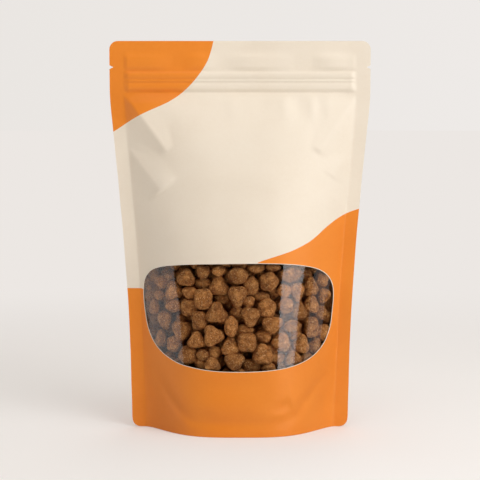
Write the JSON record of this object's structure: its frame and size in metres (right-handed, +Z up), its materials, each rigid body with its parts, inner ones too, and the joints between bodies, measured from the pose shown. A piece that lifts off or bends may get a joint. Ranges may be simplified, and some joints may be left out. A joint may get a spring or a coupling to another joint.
{
  "type": "pet food bag",
  "caption": "Stand-up film pouch with a press-to-close zip, tear notches, an unfolding bottom gusset and a clear window over dry pet food.",
  "frame": {"origin": "middle of the footprint, on the surface the pouch stands on", "axes": "+Z up to the sealed top edge, -Y out of the front with the window, +X to the right seen from the front"},
  "size_m": [0.2004, 0.0854, 0.2995],
  "materials": {
    "printed_film": "matte printed laminate, cream with orange fields",
    "gusset_film": "matte printed laminate, orange",
    "clear_film": "clear glossy film",
    "zip_plastic": "translucent natural plastic",
    "pet_food": "coarse dry baked surface"
  },
  "bodies": {
    "root": {"front_panel": "printed_film", "back_panel": "printed_film", "bottom_gusset": "gusset_film", "window_film": "clear_film", "zip_rib_strip": "zip_plastic", "zip_channel_strip": "zip_plastic", "kibble_bulk": "pet_food", "kibble_01": "pet_food", "kibble_02": "pet_food", "kibble_03": "pet_food", "kibble_04": "pet_food", "kibble_05": "pet_food", "kibble_06": "pet_food", "kibble_07": "pet_food", "kibble_08": "pet_food", "kibble_09": "pet_food", "kibble_10": "pet_food", "kibble_11": "pet_food", "kibble_12": "pet_food", "kibble_13": "pet_food", "kibble_14": "pet_food", "kibble_15": "pet_food", "kibble_16": "pet_food", "kibble_17": "pet_food", "kibble_18": "pet_food", "kibble_19": "pet_food", "kibble_20": "pet_food", "kibble_21": "pet_food", "kibble_22": "pet_food", "kibble_23": "pet_food", "kibble_24": "pet_food", "kibble_25": "pet_food", "kibble_26": "pet_food", "kibble_27": "pet_food", "kibble_28": "pet_food", "kibble_29": "pet_food", "kibble_30": "pet_food", "kibble_31": "pet_food", "kibble_32": "pet_food", "kibble_33": "pet_food", "kibble_34": "pet_food", "kibble_35": "pet_food", "kibble_36": "pet_food", "kibble_37": "pet_food", "kibble_38": "pet_food", "kibble_39": "pet_food", "kibble_40": "pet_food", "kibble_41": "pet_food", "kibble_42": "pet_food", "kibble_43": "pet_food", "kibble_44": "pet_food", "kibble_45": "pet_food", "kibble_46": "pet_food", "kibble_47": "pet_food", "kibble_48": "pet_food", "kibble_49": "pet_food", "kibble_50": "pet_food", "kibble_51": "pet_food"}
  },
  "joints": []
}
